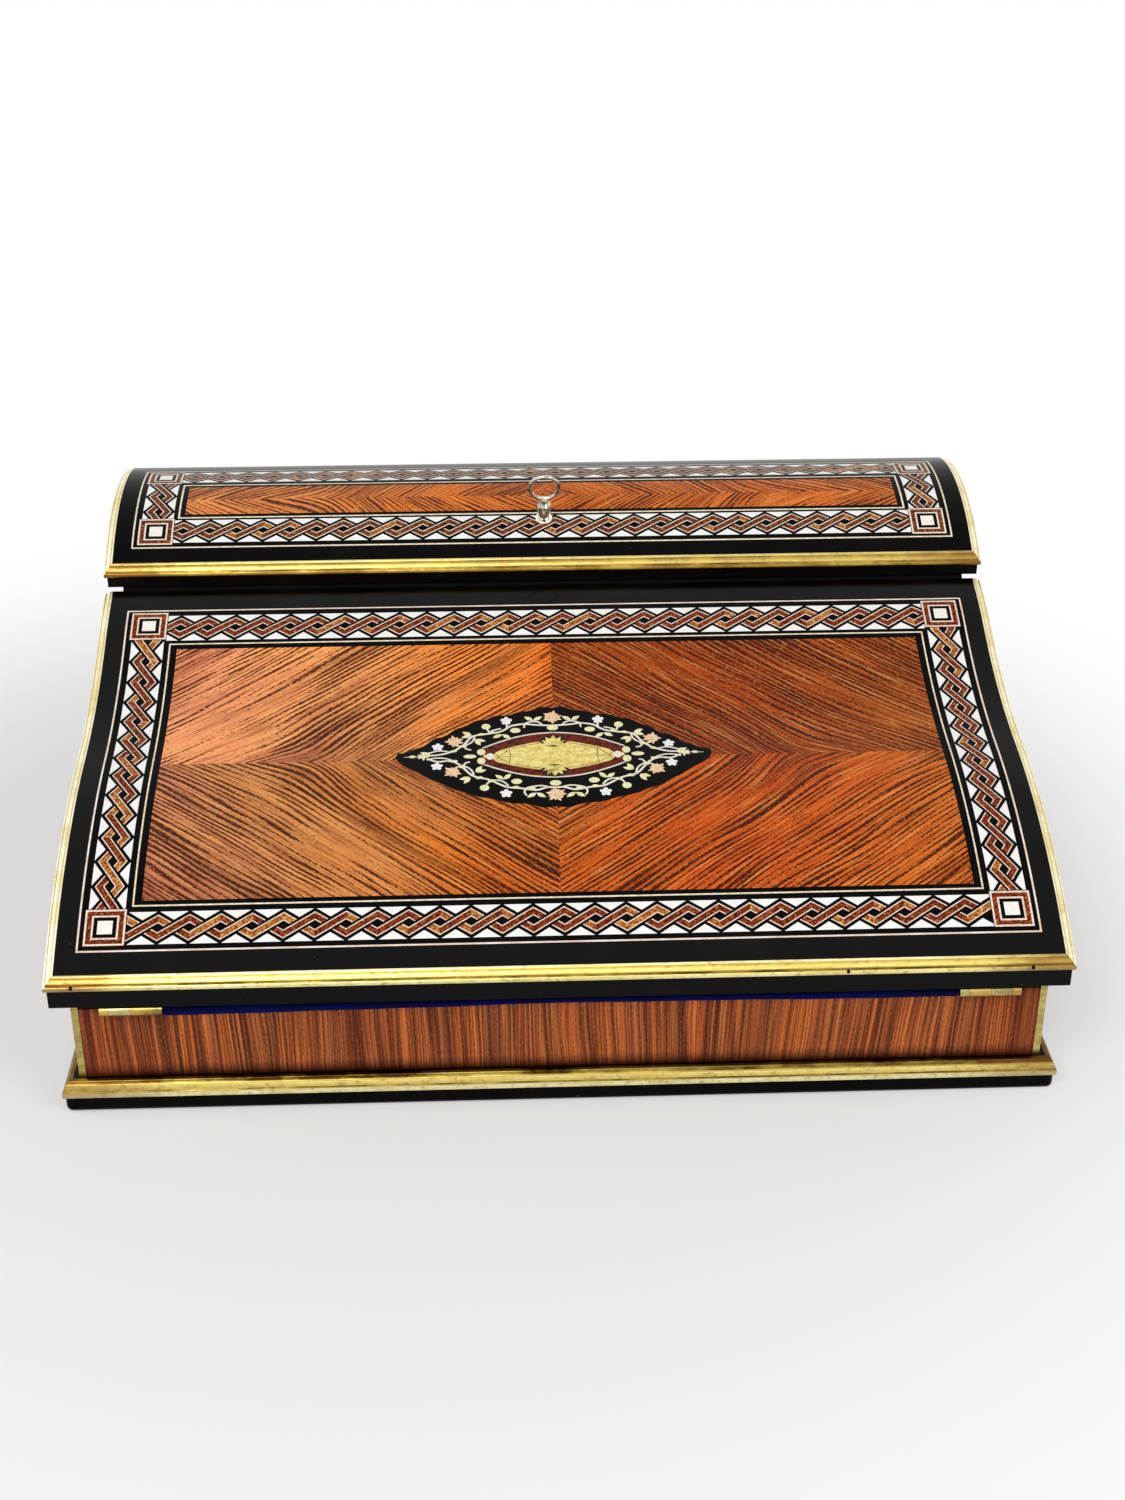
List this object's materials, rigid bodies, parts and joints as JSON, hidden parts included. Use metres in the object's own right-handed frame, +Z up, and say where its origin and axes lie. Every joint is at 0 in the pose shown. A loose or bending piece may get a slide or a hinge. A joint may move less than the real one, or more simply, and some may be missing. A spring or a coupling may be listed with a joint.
{
  "type": "writing slope",
  "caption": "Serpentine-flap table writing slope with an arched lid over pen tray and inkwells, brass edge mouldings, braided marquetry borders, hinges, lock and key.",
  "frame": {"origin": "centre of the box's footprint on the table, at the plinth's underside", "axes": "+X across the box to its right as seen from the front, the front with the flap's hinges faces -Y, +Z up"},
  "size_m": [0.38, 0.2836, 0.1737],
  "materials": {
    "ebonised_wood": "polished ebonised wood, fine scratches",
    "carcass_wood": "satin mahogany",
    "kingwood_veneer": "French-polished, striped grain",
    "marquetry": "polished ebony ground with light string, brown ribbon and white shell",
    "tortoiseshell_and_brass": "polished shell ground with inlaid brass and pearl",
    "brass_moulding": "worn polish, tarnished in the grooves",
    "brass_fittings": "polished",
    "steel": "dull",
    "nickel": "polished, worn",
    "blue_cloth": "matt",
    "blue_leather": "satin",
    "clear_glass": "polished"
  },
  "bodies": {
    "case": {"bottom_board": "carcass_wood", "case_back": "carcass_wood", "case_cap_left": "ebonised_wood", "case_cap_right": "ebonised_wood", "case_front": "carcass_wood", "case_hinge_screws": "steel", "case_left": "carcass_wood", "case_right": "carcass_wood", "corner_strips": "brass_fittings", "divider": "carcass_wood", "flap_hinge_case_leaves": "brass_fittings", "hinge_pins": "steel", "ink_partition_left": "carcass_wood", "ink_partition_right": "carcass_wood", "ink_shelf": "carcass_wood", "inkwell_left": "clear_glass", "inkwell_right": "clear_glass", "lid_hinge_case_leaves": "brass_fittings", "lock_staple": "brass_fittings", "paper_well_lining": "blue_cloth", "pen_tray": "carcass_wood", "plinth_frame": "ebonised_wood", "plinth_moulding_back": "brass_moulding", "plinth_moulding_front": "brass_moulding", "plinth_moulding_left": "brass_moulding", "plinth_moulding_right": "brass_moulding", "rim_cloth": "blue_cloth", "veneer_back": "kingwood_veneer", "veneer_front": "kingwood_veneer", "veneer_left": "kingwood_veneer", "veneer_right": "kingwood_veneer"},
    "flap": {"flap_bearers": "carcass_wood", "flap_board": "ebonised_wood", "flap_border": "marquetry", "flap_cartouche": "tortoiseshell_and_brass", "flap_hinge_flap_leaves": "brass_fittings", "flap_hinge_screws": "steel", "flap_moulding_front": "brass_moulding", "flap_moulding_left": "brass_moulding", "flap_moulding_right": "brass_moulding", "flap_veneer": "kingwood_veneer", "flap_writing_panel": "blue_leather", "moulding_pins": "steel"},
    "lid": {"lid_board": "ebonised_wood", "lid_border": "marquetry", "lid_hinge_lid_leaves": "brass_fittings", "lid_hinge_screws": "steel", "lid_lining": "blue_cloth", "lid_moulding_back": "brass_moulding", "lid_moulding_front": "brass_moulding", "lid_moulding_left": "brass_moulding", "lid_moulding_right": "brass_moulding", "lid_veneer": "kingwood_veneer", "lock_case": "brass_fittings", "escutcheon": "brass_fittings"},
    "lock_bolt": {"lock_bolt": "steel"},
    "key": {"key": "nickel"},
    "inkwell_cap_left": {"inkwell_cap_left": "brass_fittings"},
    "inkwell_cap_right": {"inkwell_cap_right": "brass_fittings"}
  },
  "joints": [
    {"name": "flap_hinge", "type": "hinge", "parent": "case", "child": "flap", "pos_m": [0, -0.13856, 0.0462], "axis": [1, 0, 0], "range_deg": [0, 169]},
    {"name": "lid_hinge", "type": "hinge", "parent": "case", "child": "lid", "pos_m": [0, 0.13856, 0.14398], "axis": [-1, 0, 0], "range_deg": [0, 100]},
    {"name": "key_turn", "type": "hinge", "parent": "lid", "child": "key", "pos_m": [0, 0.07879, 0.15008], "axis": [0, -0.3765, 0.9264], "range_deg": [0, 90]},
    {"name": "bolt_slide", "type": "slide", "parent": "lid", "child": "lock_bolt", "axis": [1, 0, 0], "range_m": [0, 0.006]},
    {"name": "inkwell_cap_left_lift", "type": "slide", "parent": "case", "child": "inkwell_cap_left", "axis": [0, 0, 1], "range_m": [0, 0.012]},
    {"name": "inkwell_cap_right_lift", "type": "slide", "parent": "case", "child": "inkwell_cap_right", "axis": [0, 0, 1], "range_m": [0, 0.012]}
  ],
  "couplings": [
    {"joint": "key_turn", "follows": "bolt_slide", "rad_per_m": 261.8}
  ]
}
